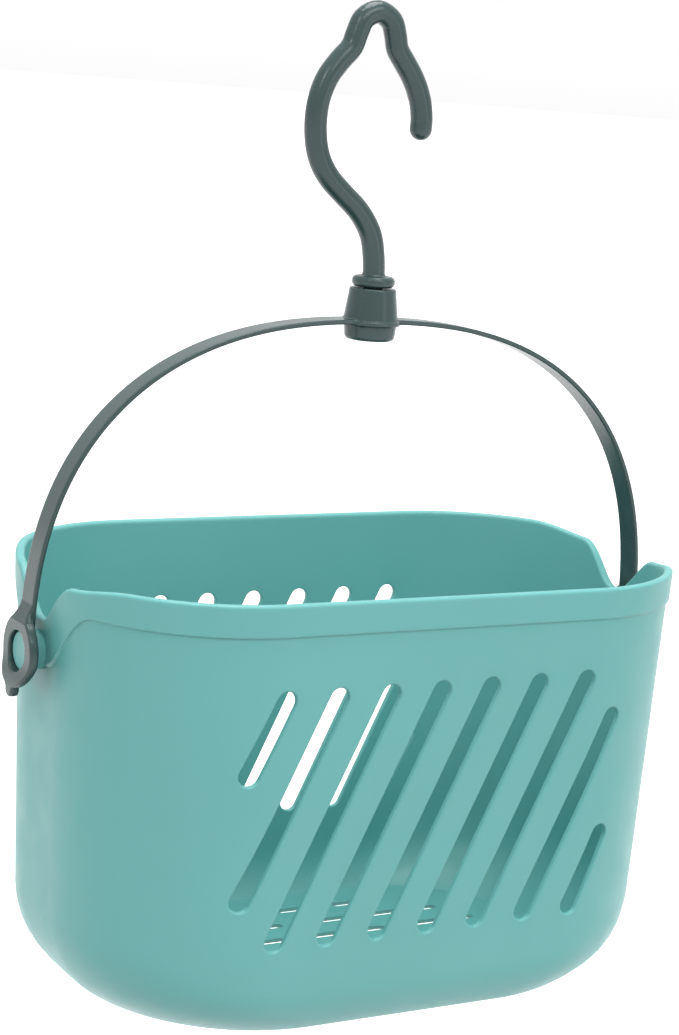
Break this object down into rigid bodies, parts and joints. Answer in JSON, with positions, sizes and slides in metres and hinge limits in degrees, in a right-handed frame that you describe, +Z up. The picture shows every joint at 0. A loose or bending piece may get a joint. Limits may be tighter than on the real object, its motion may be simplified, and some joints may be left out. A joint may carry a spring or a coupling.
{
  "type": "shower caddy",
  "caption": "Hanging shower basket with slanted wall slots, drain slots, a swinging strap handle and a swivelling hook for a rail.",
  "frame": {"origin": "middle of the basket's flat base, under the middle of the bounding box", "axes": "+Z up through the hub and hook, +X along the basket's length and the handle's pivot line, +Y towards the back wall"},
  "size_m": [0.2694, 0.145, 0.3594],
  "materials": {
    "basket_plastic": "semi-gloss moulded, light teal",
    "handle_plastic": "semi-gloss moulded, dark grey-green",
    "hook_plastic": "semi-gloss moulded, dark grey-green"
  },
  "bodies": {
    "basket": {"basket": "basket_plastic"},
    "handle": {"handle": "handle_plastic"},
    "hook": {"hook": "hook_plastic"}
  },
  "joints": [
    {"name": "handle_swing", "type": "hinge", "parent": "basket", "child": "handle", "pos_m": [0, 0, 0.128], "axis": [1, 0, 0], "range_deg": [-120, 120]},
    {"name": "hook_swivel", "type": "hinge", "parent": "handle", "child": "hook", "pos_m": [0, 0, 0.25], "axis": [0, 0, 1], "continuous": true}
  ]
}
